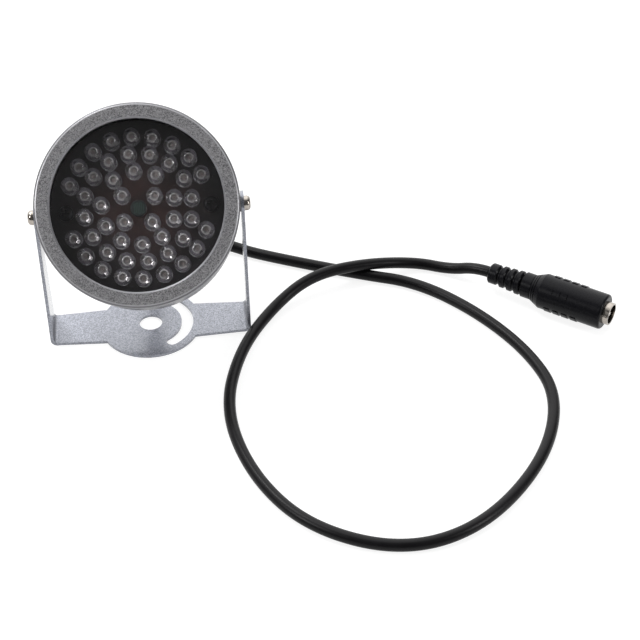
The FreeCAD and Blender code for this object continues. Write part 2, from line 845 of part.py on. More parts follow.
def round_path(points):
    """The edges of a path of straight runs joined by tangent arcs, each as large as its runs allow."""
    spots = [Vector(*point) for point in points]
    edges = []
    radii = []
    start = spots[0]
    for before, corner, after in zip(spots, spots[1:], spots[2:]):
        come = corner - before
        go = after - corner
        turn = come.getAngle(go)
        cut = 0.45 * min(come.Length, go.Length)
        radius = cut / math.tan(turn / 2)
        come.normalize()
        go.normalize()
        first = corner - come * cut
        last = corner + go * cut
        inward = (go - come).normalize()
        middle = corner + inward * (radius / math.cos(turn / 2) - radius)
        edges.append(Part.LineSegment(start, first).toShape())
        edges.append(Part.Arc(first, middle, last).toShape())
        radii.append(radius)
        start = last
    edges.append(Part.LineSegment(start, spots[-1]).toShape())
    return edges, radii


def sweep_tube(label, edges, diameter):
    """A round tube along edges, its volume compared with its section times its length."""
    path = Part.Wire(edges)
    first = path.OrderedEdges[0]
    start = first.valueAt(first.FirstParameter)
    section = Part.Wire(Part.makeCircle(diameter / 2, start, first.tangentAt(first.FirstParameter)))
    solid = path.makePipeShell([section], True, False)
    ratio = solid.Volume / (math.pi * diameter ** 2 / 4 * path.Length)
    print(f"{label}: length {path.Length:.1f} mm, volume {ratio:.4f} of section times length")
    if abs(ratio - 1) > 0.01:
        raise RuntimeError(f"{label} has the wrong volume")
    return solid


# Inside wiring: the cord's end with a cable tie round it, and its two cores up to the board
def make_wiring():
    diameter = float(cell("cord_diameter"))
    collar_top = float(rear_inside + cell("grommet_flange_thick"))
    end = collar_top + float(cell("cord_inside"))
    start = float(grommet_end)
    tail = Part.makeCylinder(diameter / 2, end - start, Vector(0, 0, start))
    group("cord_tail", [tail], head_placement())
    bore = diameter / 2 + float(cell("cord_bore_gap"))
    width = float(cell("tie_width"))
    thick = float(cell("tie_thick"))
    foot = collar_top + float(cell("tie_gap"))
    band = Part.makeCylinder(bore + thick, width, Vector(0, 0, foot))
    lock_width = float(cell("tie_lock_width"))
    lock_corner = Vector(-lock_width / 2, bore + thick / 3, foot)
    lock = Part.makeBox(lock_width, float(cell("tie_lock_height")), width, lock_corner)
    hole = Part.makeCylinder(bore, width, Vector(0, 0, foot))
    group("cord_tie", [band.fuse(lock).cut(hole).removeSplitter()], head_placement())
    core = float(cell("core_diameter"))
    top = float(board_back)
    third = (top - end) / 3
    cores = []
    for side in (1, -1):
        near = side * (core + float(cell("core_gap"))) / 2
        far = side * float(cell("core_reach"))
        route = [(near, 0, end), (near, 0, end + third), (far, 0, top - third), (far, 0, top)]
        edges, radii = round_path(route)
        cores.append(sweep_tube("inner core", edges, core))
    group("inner_cores", cores, head_placement())


# Cord: from the grommet down to the floor, round one open loop, over itself and to the jack
# Each point of its route is (x, y, how far the cord's underside is above the floor).
GROMMET_LEAD = 11.0
RISING_BENDS = 4
JACK_LEAD = 5.5
CORD_ROUTE = [
    (6.5, 36.8, 9.95),
    (16.5, 38.6, 3.35),
    (29.0, 35.2, 0.25),
    (37.7, 29.9, 0.0),
    (70.2, 15.8, 0.0),
    (89.4, 9.1, 0.0),
    (106.9, -8.0, 0.0),
    (120.1, -29.3, 0.0),
    (125.3, -50.6, 0.0),
    (115.8, -77.3, 0.0),
    (93.6, -101.3, 0.0),
    (69.1, -108.3, 0.0),
    (43.5, -96.7, 0.0),
    (28.4, -74.4, 0.0),
    (21.7, -45.4, 0.0),
    (28.0, -18.2, 0.0),
    (40.4, 2.1, 0.0),
    (54.0, 11.8, 4.15),
    (71.6, 16.0, 4.15),
    (90.1, 19.9, 0.0),
    (101.4, 14.8, 0.0),
]


def head_point(height):
    """A point on the head's axis, in the row frame."""
    return head_placement().multVec(Vector(0, 0, float(height)))


# Where the jack's cord end and its mouth lie on the floor
JACK_ENTRY = (113.7, 6.75)
JACK_MOUTH = (147.0, -17.3)


def jack_placement():
    """The jack lying on the floor: its own Z runs from the cord's entry to its mouth, its X to one grip."""
    entry = Vector(*JACK_ENTRY, float(cell("jack_body")) / 2)
    mouth = Vector(*JACK_MOUTH, entry.z)
    along = (mouth - entry).normalize()
    level = Vector(0, 0, 1).cross(along)
    roll = FreeCAD.Rotation(along, float(cell("jack_roll")))
    grip = roll.multVec(level)
    return FreeCAD.Placement(entry, FreeCAD.Rotation(grip, along.cross(grip), along, "ZXY"))


def make_cord():
    """Two tubes end to end: one that bends with the head, from the grommet to the floor, and the rest."""
    diameter = float(cell("cord_diameter"))
    leaving = [tuple(head_point(grommet_end)), tuple(head_point(grommet_end - GROMMET_LEAD))]
    lying = [(x, y, lift + diameter / 2) for x, y, lift in CORD_ROUTE]
    arriving = [tuple(jack_placement().multVec(Vector(0, 0, -back))) for back in (JACK_LEAD, 0)]
    edges, radii = round_path(leaving + lying + arriving)
    print("cord bends:", [round(radius, 1) for radius in radii])
    split = 2 * RISING_BENDS
    row_frame = FreeCAD.Placement()
    group("cord_rise", [sweep_tube("cord_rise", edges[:split], diameter)], row_frame)
    group("cord", [sweep_tube("cord", edges[split:], diameter)], row_frame)


# Jack: a moulded body with a ribbed strain relief, and the metal sleeve, insulator and pin inside it
JACK_RIBS = 3
CONE_RINGS = 3
GRIP_RIDGES = 4
GRIP_BARS = 3


def strain_relief(rib_radius, core_radius):
    """The half section's points from the cord's entry to the neck: a collar, then ribs that grow."""
    edge = cell("jack_rib_edge")
    gap = cell("jack_rib_gap")
    width = cell("jack_rib_width")
    height = cell("jack_collar_length")
    points = [(0, 0), (rib_radius - edge, 0), (rib_radius, edge)]
    points += [(rib_radius, height - edge), (rib_radius - edge, height)]
    for step in range(JACK_RIBS):
        rib_radius = rib_radius + cell("jack_rib_growth")
        core_radius = core_radius + cell("jack_rib_growth")
        points += [(core_radius, height), (core_radius, height + gap)]
        height = height + gap
        points += [(rib_radius - edge, height), (rib_radius, height + edge)]
        height = height + width
        points += [(rib_radius, height - edge), (rib_radius - edge, height)]
    return points, rib_radius, core_radius, height


def ring_grooves(radius, height, top_radius, top):
    """The half section's points up a cone, with fine grooves round its lower part."""
    slope = (top_radius - radius) / (top - height)
    depth = cell("ring_depth")
    width = cell("ring_width")
    points = []
    for step in range(CONE_RINGS):
        low = height + cell("ring_pitch") * step
        low_radius = radius + slope * (low - height)
        high_radius = low_radius + slope * width
        points += [(low_radius, low), (low_radius - depth, low), (high_radius - depth, low + width)]
        points += [(high_radius, low + width)]
    return points + [(top_radius, top)]


def make_jack():
    place = jack_placement()
    body = new_body("jack_body")
    full = cell("jack_body") / 2
    points, rib_radius, core_radius, height = strain_relief(cell("jack_collar") / 2, cell("jack_core") / 2)
    neck_radius = rib_radius + cell("jack_rib_growth")
    neck_start = height + cell("jack_rib_gap")
    cone_start = neck_start + cell("jack_neck_length")
    body_start = cone_start + cell("jack_cone_length")
    end = body_start + cell("jack_body_length")
    points += [(core_radius, height), (core_radius, neck_start), (neck_radius, neck_start)]
    points += ring_grooves(neck_radius, cone_start, full, body_start)
    seat = cell("sleeve_diameter") / 2 + cell("screw_fit")
    seat_end = end - (cell("sleeve_length") - cell("sleeve_reach"))
    revolve(body, points + [(full, end), (seat, end), (seat, seat_end), (0, seat_end)])
    round_edges(body, "Fillet", cell("jack_edge_round"), lambda edge: is_ring(edge, full, end))
    proud = full + cell("grip_proud")
    inside = full - cell("grip_proud")
    ridges = sketch_on(body, "XZ_Plane")
    for step in range(GRIP_RIDGES):
        low = body_start + cell("grip_start") + cell("grip_pitch") * step
        high = low + cell("grip_width")
        draw_polygon(ridges, [(inside, low), (proud, low), (proud, high), (inside, high)])
    grip = part_turn(body, ridges, cell("grip_sweep"))
    mirror_across_x(body, grip)
    proud = full + cell("bar_proud")
    bars = sketch_on(body, "YZ_Plane")
    for step in range(GRIP_BARS):
        low = body_start + cell("bar_start") + cell("bar_pitch") * step
        high = low + cell("bar_width")
        draw_polygon(bars, [(inside, low), (proud, low), (proud, high), (inside, high)])
    part_turn(body, bars, cell("bar_sweep"))
    doc.recompute()
    body.Placement = place
    sleeve_radius = cell("sleeve_diameter") / 2
    sleeve_bore = sleeve_radius - cell("sleeve_wall")
    sleeve = new_body("jack_sleeve")
    low = seat_end
    high = end + cell("sleeve_reach")
    revolve(sleeve, [(sleeve_bore, low), (sleeve_radius, low), (sleeve_radius, high), (sleeve_bore, high)])
    sleeve.Placement = place
    insulator = new_body("jack_insulator")
    pin = cell("plug_pin") / 2
    shelf = low + cell("insulator_thick")
    foot = shelf + cell("insulator_boss")
    outer = sleeve_bore - cell("screw_fit")
    revolve(insulator, [(0, low), (outer, low), (outer, shelf), (pin * 2, shelf), (pin * 2, foot), (0, foot)])
    insulator.Placement = place
    contact = new_body("jack_pin")
    tip = foot + cell("plug_pin_length")
    point = cell("plug_pin_point")
    revolve(contact, [(0, foot), (pin, foot), (pin, tip - point), (pin - point, tip), (0, tip)])
    contact.Placement = place


SUBPARTS = [
    "bracket", "housing", "bezel", "window_glass", "window_gasket", "lamp_board",
    "lamp_ring_outer", "lamp_ring_third", "lamp_ring_second", "lamp_ring_inner",
    "light_sensor", "board_standoffs", "board_screws", "pivot_screws", "pivot_washers",
    "resistors", "capacitor", "transistor", "cord_grommet", "cord_tail", "cord_tie", "inner_cores",
    "cord_rise", "cord", "jack_body", "jack_sleeve", "jack_insulator", "jack_pin",
]


def check_model():
    """Stops if any object failed, any cut removed nothing, or any sub-part is not a valid solid."""
    for thing in doc.Objects:
        if "Invalid" in thing.State or "Error" in thing.State:
            raise RuntimeError(f"{thing.Name} failed: {thing.State}")
    for cut, base in cuts:
        if cut.Shape.Volume > base.Shape.Volume - 0.001:
            raise RuntimeError(f"{cut.Name} cuts nothing")
    for label in SUBPARTS:
        shape = doc.getObjectsByLabel(label)[0].Shape
        if shape.isNull() or not shape.isValid() or not shape.Solids:
            raise RuntimeError(f"{label} has no valid shape")


make_bracket()
make_housing()
make_bezel()
make_window()
make_board()
make_lamps()
make_sensor()
make_board_fixings()
make_pivots()
make_driver_parts()
make_grommet()
make_wiring()
make_cord()
make_jack()
doc.recompute()
check_model()
for label in SUBPARTS:
    doc.getObjectsByLabel(label)[0].Shape.exportStep(f"parts/{label}.step")
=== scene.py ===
import math

import bmesh
import bpy
from mathutils import Matrix, Vector


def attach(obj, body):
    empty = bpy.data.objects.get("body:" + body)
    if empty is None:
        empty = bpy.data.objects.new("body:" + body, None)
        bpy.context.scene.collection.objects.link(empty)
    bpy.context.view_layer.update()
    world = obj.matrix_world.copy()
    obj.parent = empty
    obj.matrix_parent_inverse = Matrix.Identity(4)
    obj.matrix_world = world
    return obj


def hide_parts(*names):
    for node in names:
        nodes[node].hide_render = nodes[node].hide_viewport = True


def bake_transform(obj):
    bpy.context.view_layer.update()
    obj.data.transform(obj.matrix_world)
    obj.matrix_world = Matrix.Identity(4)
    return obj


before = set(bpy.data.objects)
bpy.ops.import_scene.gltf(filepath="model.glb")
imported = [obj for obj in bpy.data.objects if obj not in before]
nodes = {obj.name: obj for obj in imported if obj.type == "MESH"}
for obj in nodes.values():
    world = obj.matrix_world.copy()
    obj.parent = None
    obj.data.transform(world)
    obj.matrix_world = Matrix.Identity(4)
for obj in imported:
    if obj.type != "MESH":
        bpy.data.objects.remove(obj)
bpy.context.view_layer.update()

# Camera
# A long lens stands in front of the head, 0.55 m from it, and looks down at 41 degrees. It is turned
# 5 degrees to the right, so the head is at the left of the picture and the whole cord is in it.
camera_data = bpy.data.cameras.new("camera")
camera_data.sensor_width = 36
camera_data.lens = 98.95
camera_data.clip_start = 0.01
camera = bpy.data.objects.new("camera", camera_data)
bpy.context.scene.collection.objects.link(camera)
camera_turn = Matrix.Rotation(math.radians(-4.93), 4, "Z")
camera_lean = Matrix.Rotation(math.radians(90 - 41.17), 4, "X")
camera_roll = Matrix.Rotation(math.radians(-1.01), 4, "Z")
camera_place = Matrix.Translation((0.01792, -0.43792, 0.38082))
camera.matrix_world = camera_place @ camera_turn @ camera_lean @ camera_roll
bpy.context.scene.camera = camera
bpy.context.scene.view_settings.view_transform = "Standard"


# Cord
# A round two-core lead with an extruded black PVC sheath. It leaves the grommet at the back of the head,
# drops to the table, and runs round in one open loop and over itself to the inline jack.
def linear(colour):
    """An sRGB hex colour as the linear colour that a shader takes."""
    shares = [int(colour[at : at + 2], 16) / 255 for at in (0, 2, 4)]
    return [s / 12.92 if s <= 0.04045 else ((s + 0.055) / 1.055) ** 2.4 for s in shares] + [1.0]


def new_material(name):
    """A material with no nodes yet."""
    material = bpy.data.materials.new(name)
    material.use_nodes = True
    material.node_tree.nodes.clear()
    return material


def add_node(material, kind, inputs, **settings):
    """Adds a node with its settings. An input is a value, or a tuple of another node and its output.

    Sockets that share a name are given by number: a Mix of colours takes its share at 0 and its colours
    at 6 and 7, and gives the mixed colour at 2.
    """
    tree = material.node_tree
    node = tree.nodes.new(kind)
    for name, value in settings.items():
        setattr(node, name, value)
    for name, value in inputs.items():
        if isinstance(value, tuple):
            tree.links.new(value[0].outputs[value[1]], node.inputs[name])
        else:
            node.inputs[name].default_value = value
    return node


# Extruded PVC, black and satin: the die leaves it smooth, and winding leaves faint waves about 4.5 mm long,
# so its highlights are soft lines that waver a little. Plasticised PVC has an IOR of about 1.53. Handling
# has dulled its skin, so its specular level is low.
cord_pvc = new_material("cord_extruded_pvc")
place = add_node(cord_pvc, "ShaderNodeTexCoord", {})
waves = add_node(
    cord_pvc, "ShaderNodeTexNoise", {"Vector": (place, "Object"), "Scale": 1 / 0.0045, "Detail": 3.0}
)
tone = add_node(
    cord_pvc, "ShaderNodeMix", {0: (waves, 0), 6: linear("0f0e10"), 7: linear("171618")}, data_type="RGBA"
)
gloss = add_node(cord_pvc, "ShaderNodeMapRange", {"Value": (waves, 0), "To Min": 0.3, "To Max": 0.42})
skin = add_node(cord_pvc, "ShaderNodeBump", {"Height": (waves, 0), "Strength": 0.25, "Distance": 0.0001})
shader = add_node(
    cord_pvc,
    "ShaderNodeBsdfPrincipled",
    {
        "Base Color": (tone, 2),
        "Roughness": (gloss, 0),
        "Normal": (skin, 0),
        "IOR": 1.53,
        "Specular IOR Level": 0.15,
    },
)
add_node(cord_pvc, "ShaderNodeOutputMaterial", {"Surface": (shader, 0)})

cord_diameter = 0.0038
cord_route = [
    (0.00000, 0.02215, 0.02698),
    (0.00000, 0.03027, 0.01956),
    (0.00650, 0.03680, 0.01185),
    (0.01650, 0.03860, 0.00525),
    (0.02900, 0.03520, 0.00215),
    (0.03770, 0.02990, 0.00190),
    (0.07020, 0.01580, 0.00190),
    (0.08940, 0.00910, 0.00190),
    (0.10690, -0.00800, 0.00190),
    (0.12010, -0.02930, 0.00190),
    (0.12530, -0.05060, 0.00190),
    (0.11580, -0.07730, 0.00190),
    (0.09360, -0.10130, 0.00190),
    (0.06910, -0.10830, 0.00190),
    (0.04350, -0.09670, 0.00190),
    (0.02840, -0.07440, 0.00190),
    (0.02170, -0.04540, 0.00190),
    (0.02800, -0.01820, 0.00190),
    (0.04040, 0.00210, 0.00190),
    (0.05400, 0.01180, 0.00605),
    (0.07160, 0.01600, 0.00605),
    (0.09010, 0.01990, 0.00190),
    (0.10140, 0.01480, 0.00190),
    (0.10924, 0.00997, 0.00590),
    (0.11370, 0.00675, 0.00590),
]
route_curve = bpy.data.curves.new("cord_route", "CURVE")
route_curve.dimensions = "3D"
route_curve.resolution_u = 16
route_line = route_curve.splines.new("NURBS")
route_line.points.add(len(cord_route) - 1)
for spot, point in zip(route_line.points, cord_route):
    spot.co = (*point, 1)
route_line.order_u = 3
route_line.use_endpoint_u = True
route_mesh = bpy.data.meshes.new_from_object(bpy.data.objects.new("cord_route", route_curve))
cord_line = [vertex.co.copy() for vertex in route_mesh.vertices]


def add_piece(name, shape, *materials, smooth=True):
    """Makes a bmesh into an object with its materials, with smooth or flat faces."""
    mesh = bpy.data.meshes.new(name)
    bmesh.ops.recalc_face_normals(shape, faces=shape.faces)
    shape.to_mesh(mesh)
    shape.free()
    for face in mesh.polygons:
        face.use_smooth = smooth
    for material in materials:
        mesh.materials.append(material)
    piece = bpy.data.objects.new(name, mesh)
    bpy.context.scene.collection.objects.link(piece)
    return piece


def add_tube(shape, line, radius, sides):
    """A closed round tube in a bmesh along a line of points."""
    rings = []
    across = None
    for at, point in enumerate(line):
        ahead = (line[min(at + 1, len(line) - 1)] - line[max(at - 1, 0)]).normalized()
        across = ahead.orthogonal() if across is None else across - ahead * across.dot(ahead)
        across.normalize()
        beside = ahead.cross(across)
        ring = []
        for side in range(sides):
            turn = 2 * math.pi * side / sides
            spoke = across * math.cos(turn) + beside * math.sin(turn)
            ring.append(shape.verts.new(point + spoke * radius))
        rings.append(ring)
    for ring, following in zip(rings, rings[1:]):
        for side in range(sides):
            after = (side + 1) % sides
            shape.faces.new((ring[side], ring[after], following[after], following[side]))
    shape.faces.new(rings[0])
    shape.faces.new(rings[-1])


sheath = bmesh.new()
add_tube(sheath, cord_line, cord_diameter / 2, sides=20)
cord = add_piece("cord_sheath", sheath, cord_pvc)
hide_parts("cord_rise", "cord")
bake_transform(cord)


# Table and light
# A white laminate table under a wide soft light that hangs a little behind the head, so what faces up is
# lighter than what faces the camera. One softbox stands on the right, one on the left, and a small one
# hangs above and behind.

# White laminate: even and matt, and seen white with the part's soft shadow on it. The light that it throws
# back on the part is that of a pale grey, so the part's own colours hold.
table_white = new_material("table_white_laminate")
seen = add_node(table_white, "ShaderNodeLightPath", {})
seen_gloss = add_node(
    table_white,
    "ShaderNodeMath",
    {0: (seen, "Is Camera Ray"), 1: (seen, "Is Glossy Ray")},
    operation="MAXIMUM",
)
seen_all = add_node(
    table_white,
    "ShaderNodeMath",
    {0: (seen_gloss, 0), 1: (seen, "Is Transmission Ray")},
    operation="MAXIMUM",
)
bounce = add_node(table_white, "ShaderNodeBsdfDiffuse", {"Color": linear("c8c8c8")})
shade = add_node(table_white, "ShaderNodeBsdfDiffuse", {"Color": linear("969696")})
glow = add_node(table_white, "ShaderNodeEmission", {"Color": linear("ffffff"), "Strength": 0.84})
shown = add_node(table_white, "ShaderNodeAddShader", {0: (glow, 0), 1: (shade, 0)})
both = add_node(table_white, "ShaderNodeMixShader", {0: (seen_all, 0), 1: (bounce, 0), 2: (shown, 0)})
add_node(table_white, "ShaderNodeOutputMaterial", {"Surface": (both, 0)})
table_top = bmesh.new()
bmesh.ops.create_grid(table_top, x_segments=1, y_segments=1, size=2.0)
table = add_piece("table", table_top, table_white)
# It lies a hair below the bracket and the cord
table_gap = 0.00002
table.location.z = -table_gap

# The room is dim all round and bright where the wide light hangs, and the camera sees it white
wide_light_way = [-0.08, 0.75, 0.66]
studio = bpy.data.worlds.new("studio")
studio.use_nodes = True
studio.node_tree.nodes.clear()
way = add_node(studio, "ShaderNodeTexCoord", {})
toward = add_node(
    studio, "ShaderNodeVectorMath", {0: (way, "Generated"), 1: wide_light_way}, operation="DOT_PRODUCT"
)
overhead = add_node(
    studio,
    "ShaderNodeMapRange",
    {"Value": (toward, 1), "From Min": 0.4, "From Max": 1.0, "To Min": 0.12, "To Max": 2.1},
    interpolation_type="SMOOTHSTEP",
)
ray = add_node(studio, "ShaderNodeLightPath", {})
level = add_node(studio, "ShaderNodeMix", {0: (ray, "Is Camera Ray"), 2: (overhead, 0), 3: 1.0})
air = add_node(studio, "ShaderNodeBackground", {"Color": linear("ffffff"), "Strength": (level, 0)})
add_node(studio, "ShaderNodeOutputWorld", {"Surface": (air, 0)})
bpy.context.scene.world = studio


aim = Vector((0.02, 0.0, 0.04))


def add_softbox(name, spot, width, height, watts):
    """A softbox that faces the head."""
    light = bpy.data.lights.new(name, "AREA")
    light.shape = "RECTANGLE"
    light.size = width
    light.size_y = height
    light.energy = watts
    softbox = bpy.data.objects.new(name, light)
    softbox.location = spot
    softbox.rotation_euler = (aim - softbox.location).to_track_quat("-Z", "Y").to_euler()
    bpy.context.scene.collection.objects.link(softbox)


add_softbox("right_softbox", (0.58, -0.32, 0.30), width=0.12, height=0.30, watts=1.3)
add_softbox("left_softbox", (-0.50, -0.22, 0.46), width=0.10, height=0.22, watts=1.6)
add_softbox("top_softbox", (-0.19, 0.20, 0.52), width=0.10, height=0.10, watts=1.0)


# Bracket
# One strip of 1 mm sheet steel: punched with its stud hole and arc slot, folded into a U, and then coated
# in pale blue-grey textured powder.
def set_material(material, *names):
    """Gives CAD nodes their finish."""
    for name in names:
        for slot in nodes[name].material_slots:
            slot.material = material


def textured_powder(name, dark, light, grain, metal, lacquer):
    """Silver textured powder coat, whose melted grains are each a little lighter or darker than the next.

    The grain is their width in metres. Metal flake in the powder makes it glitter and part metallic, and
    the lacquer is how much clear coat lies over it. The melted skin is satin, at a roughness of 0.3 to 0.5.
    """
    coat = new_material(name)
    place = add_node(coat, "ShaderNodeTexCoord", {})
    grains = add_node(coat, "ShaderNodeTexVoronoi", {"Vector": (place, "Object"), "Scale": 1 / grain})
    each = add_node(coat, "ShaderNodeSeparateColor", {0: (grains, "Color")})
    fines = add_node(
        coat, "ShaderNodeTexNoise", {"Vector": (place, "Object"), "Scale": 0.8 / grain, "Detail": 2.0}
    )
    speckle = add_node(coat, "ShaderNodeMix", {0: 0.3, 2: (each, 0), 3: (fines, 0)})
    share = add_node(
        coat, "ShaderNodeMapRange", {"Value": (speckle, 0), "From Min": 0.1, "From Max": 0.9}
    )
    tone = add_node(
        coat, "ShaderNodeMix", {0: (share, 0), 6: linear(dark), 7: linear(light)}, data_type="RGBA"
    )
    lumps = add_node(
        coat, "ShaderNodeBump", {"Height": (fines, 0), "Strength": 0.4, "Distance": grain * 0.12}
    )
    gloss = add_node(coat, "ShaderNodeMapRange", {"Value": (each, 1), "To Min": 0.3, "To Max": 0.5})
    shader = add_node(
        coat,
        "ShaderNodeBsdfPrincipled",
        {
            "Base Color": (tone, 2),
            "Roughness": (gloss, 0),
            "Metallic": metal,
            "Normal": (lumps, 0),
            "Coat Weight": lacquer,
            "Coat Roughness": 0.16,
        },
    )
    add_node(coat, "ShaderNodeOutputMaterial", {"Surface": (shader, 0)})
    return coat, tone, shader


# Grains 0.26 mm wide in a pale blue grey, which read as a fine, even speckle. The flake lies flat in this
# coat, so it is 0.8 metallic, and clear coat lies over it: it shows the dark head above the disc, and the
# bright table beside the arms.
bracket_paint, _, _ = textured_powder(
    "bracket_powder_coat", dark="62656d", light="a2a5af", grain=0.00026, metal=0.8, lacquer=1.0
)
set_material(bracket_paint, "bracket")


# Housing and bezel
# Turned aluminium: a drum closed at the back, and the ring that screws on its front and holds the window.
# Both wear a darker grey powder, and the ring's inner chamfer is cut after coating.
head_centre = [0.0, 0.0, 0.0472065]
head_lean = math.radians(90 - 42.4)
bezel_face = 0.0196
bezel_radius = 0.031
bezel_mouth = 0.0262
chamfer = 0.0005
edge_depth = 0.0011
edge_blend = 0.0002

# Grains 0.24 mm wide in a warm mid grey, 0.5 metallic, with no clear coat. A painted highlight, a light
# line, runs round the ring's rounded outer edge inside a painted dark line of shade, and the inner chamfer
# is an even grey for bare metal, which is partly a painted highlight on that edge.
head_paint, head_tone, head_shader = textured_powder(
    "head_powder_coat", dark="59585b", light="c1c0c3", grain=0.00024, metal=0.5, lacquer=0.0
)
place = add_node(head_paint, "ShaderNodeTexCoord", {})
upright = add_node(
    head_paint,
    "ShaderNodeVectorRotate",
    {"Vector": (place, "Object"), "Center": head_centre, "Angle": -head_lean},
    rotation_type="X_AXIS",
)
from_centre = add_node(
    head_paint, "ShaderNodeVectorMath", {0: (upright, 0), 1: head_centre}, operation="SUBTRACT"
)
flat = add_node(
    head_paint, "ShaderNodeVectorMath", {0: (from_centre, 0), 1: [1.0, 1.0, 0.0]}, operation="MULTIPLY"
)
from_axis = add_node(head_paint, "ShaderNodeVectorMath", {0: (flat, 0)}, operation="LENGTH")
height = add_node(head_paint, "ShaderNodeSeparateXYZ", {0: (from_centre, 0)})
in_front = add_node(
    head_paint,
    "ShaderNodeMapRange",
    {
        "Value": (height, "Z"),
        "From Min": bezel_face - edge_depth,
        "From Max": bezel_face - edge_depth + edge_blend,
    },
)

# The bands on the ring's front: the radius where each begins, the radius where it is full, and its colour.
# They are the bare chamfer's grey, which is partly a painted highlight, the painted highlight on the outer
# edge, and the painted dark line of shade outside it.
chamfer_and_painted_edge_lines = (
    (bezel_mouth + chamfer * 1.1, bezel_mouth + chamfer * 0.8, "8e8e92"),
    (bezel_radius - 0.00095, bezel_radius - 0.0008, "c0c0c3"),
    (bezel_radius - 0.0006, bezel_radius - 0.00045, "6c6b6f"),
)
painted = head_tone
for begins, full, colour in chamfer_and_painted_edge_lines:
    band = add_node(
        head_paint,
        "ShaderNodeMapRange",
        {"Value": (from_axis, "Value"), "From Min": begins, "From Max": full},
    )
    front_band = add_node(
        head_paint, "ShaderNodeMath", {0: (band, 0), 1: (in_front, 0)}, operation="MULTIPLY"
    )
    painted = add_node(
        head_paint,
        "ShaderNodeMix",
        {0: (front_band, 0), 6: (painted, 2), 7: linear(colour)},
        data_type="RGBA",
    )
head_paint.node_tree.links.new(painted.outputs[2], head_shader.inputs["Base Color"])
set_material(head_paint, "housing", "bezel")


# Pivot screws and washers
# Steel pan head screws, cold headed, with a pressed cross and nickel plate. Each goes through an arm into
# the drum, with a black nylon washer between the two that lets the head turn.

# Nickel plate: a slightly warm metal, bright but dulled in spots about 1 mm wide by handling, so its
# reflections are broken. It is all metal, with a roughness of 0.1 to 0.3.
nickel = new_material("nickel_plate")
place = add_node(nickel, "ShaderNodeTexCoord", {})
tarnish = add_node(
    nickel, "ShaderNodeTexNoise", {"Vector": (place, "Object"), "Scale": 1 / 0.001, "Detail": 4.0}
)
tone = add_node(
    nickel, "ShaderNodeMix", {0: (tarnish, 0), 6: linear("6f665e"), 7: linear("cbc5bd")}, data_type="RGBA"
)
gloss = add_node(nickel, "ShaderNodeMapRange", {"Value": (tarnish, 0), "To Min": 0.1, "To Max": 0.3})
shader = add_node(
    nickel,
    "ShaderNodeBsdfPrincipled",
    {"Base Color": (tone, 2), "Roughness": (gloss, 0), "Metallic": 1.0},
)
add_node(nickel, "ShaderNodeOutputMaterial", {"Surface": (shader, 0)})
set_material(nickel, "pivot_screws")

# Moulded nylon: matt black from the mould's fine spark-eroded skin, with pits about 0.4 mm apart, so it
# hardly shines. Nylon has an IOR of about 1.53.
black_nylon = new_material("black_moulded_nylon")
place = add_node(black_nylon, "ShaderNodeTexCoord", {})
mould = add_node(
    black_nylon, "ShaderNodeTexNoise", {"Vector": (place, "Object"), "Scale": 1 / 0.0004, "Detail": 2.0}
)
skin = add_node(
    black_nylon, "ShaderNodeBump", {"Height": (mould, 0), "Strength": 0.3, "Distance": 0.00003}
)
gloss = add_node(black_nylon, "ShaderNodeMapRange", {"Value": (mould, 0), "To Min": 0.4, "To Max": 0.6})
shader = add_node(
    black_nylon,
    "ShaderNodeBsdfPrincipled",
    {"Base Color": linear("1a191b"), "Roughness": (gloss, 0), "Normal": (skin, 0), "IOR": 1.53},
)
add_node(black_nylon, "ShaderNodeOutputMaterial", {"Surface": (shader, 0)})
set_material(black_nylon, "pivot_washers", "cord_tie", "jack_insulator")


# Window and gasket
# A 3 mm disc of clear float glass, cut and ground round. It lies on the drum's rim, and the bezel's lip
# clamps it with a black rubber ring between.

# Float glass: clear, with a smooth fire-polished face that a wipe has left faintly uneven over 2.5 mm.
# Its IOR is 1.5, so it mirrors little where the room is dim. Light passes to the lamps without a shadow.
window_glass = new_material("window_float_glass")
place = add_node(window_glass, "ShaderNodeTexCoord", {})
wiped = add_node(
    window_glass, "ShaderNodeTexNoise", {"Vector": (place, "Object"), "Scale": 1 / 0.0025, "Detail": 3.0}
)
gloss = add_node(window_glass, "ShaderNodeMapRange", {"Value": (wiped, 0), "To Min": 0.0, "To Max": 0.03})
clear = add_node(
    window_glass,
    "ShaderNodeBsdfPrincipled",
    {"Base Color": linear("f4f4f6"), "Roughness": (gloss, 0), "Transmission Weight": 1.0, "IOR": 1.5},
)
through = add_node(window_glass, "ShaderNodeBsdfTransparent", {"Color": linear("f6f6f7")})
ray = add_node(window_glass, "ShaderNodeLightPath", {})
passed = add_node(
    window_glass, "ShaderNodeMixShader", {0: (ray, "Is Shadow Ray"), 1: (clear, 0), 2: (through, 0)}
)
add_node(window_glass, "ShaderNodeOutputMaterial", {"Surface": (passed, 0)})
set_material(window_glass, "window_glass")

# Moulded nitrile rubber: dead matt, with a faint grey bloom in clouds about 0.7 mm wide, which makes it
# greyer than the cord. Its IOR is about 1.52.
black_rubber = new_material("black_rubber")
place = add_node(black_rubber, "ShaderNodeTexCoord", {})
bloom = add_node(
    black_rubber, "ShaderNodeTexNoise", {"Vector": (place, "Object"), "Scale": 1 / 0.0007, "Detail": 3.0}
)
tone = add_node(
    black_rubber,
    "ShaderNodeMix",
    {0: (bloom, 0), 6: linear("121112"), 7: linear("201f21")},
    data_type="RGBA",
)
skin = add_node(
    black_rubber, "ShaderNodeBump", {"Height": (bloom, 0), "Strength": 0.3, "Distance": 0.00004}
)
shader = add_node(
    black_rubber,
    "ShaderNodeBsdfPrincipled",
    {"Base Color": (tone, 2), "Roughness": 0.7, "Normal": (skin, 0), "IOR": 1.52},
)
add_node(black_rubber, "ShaderNodeOutputMaterial", {"Surface": (shader, 0)})
set_material(black_rubber, "window_gasket", "cord_grommet")
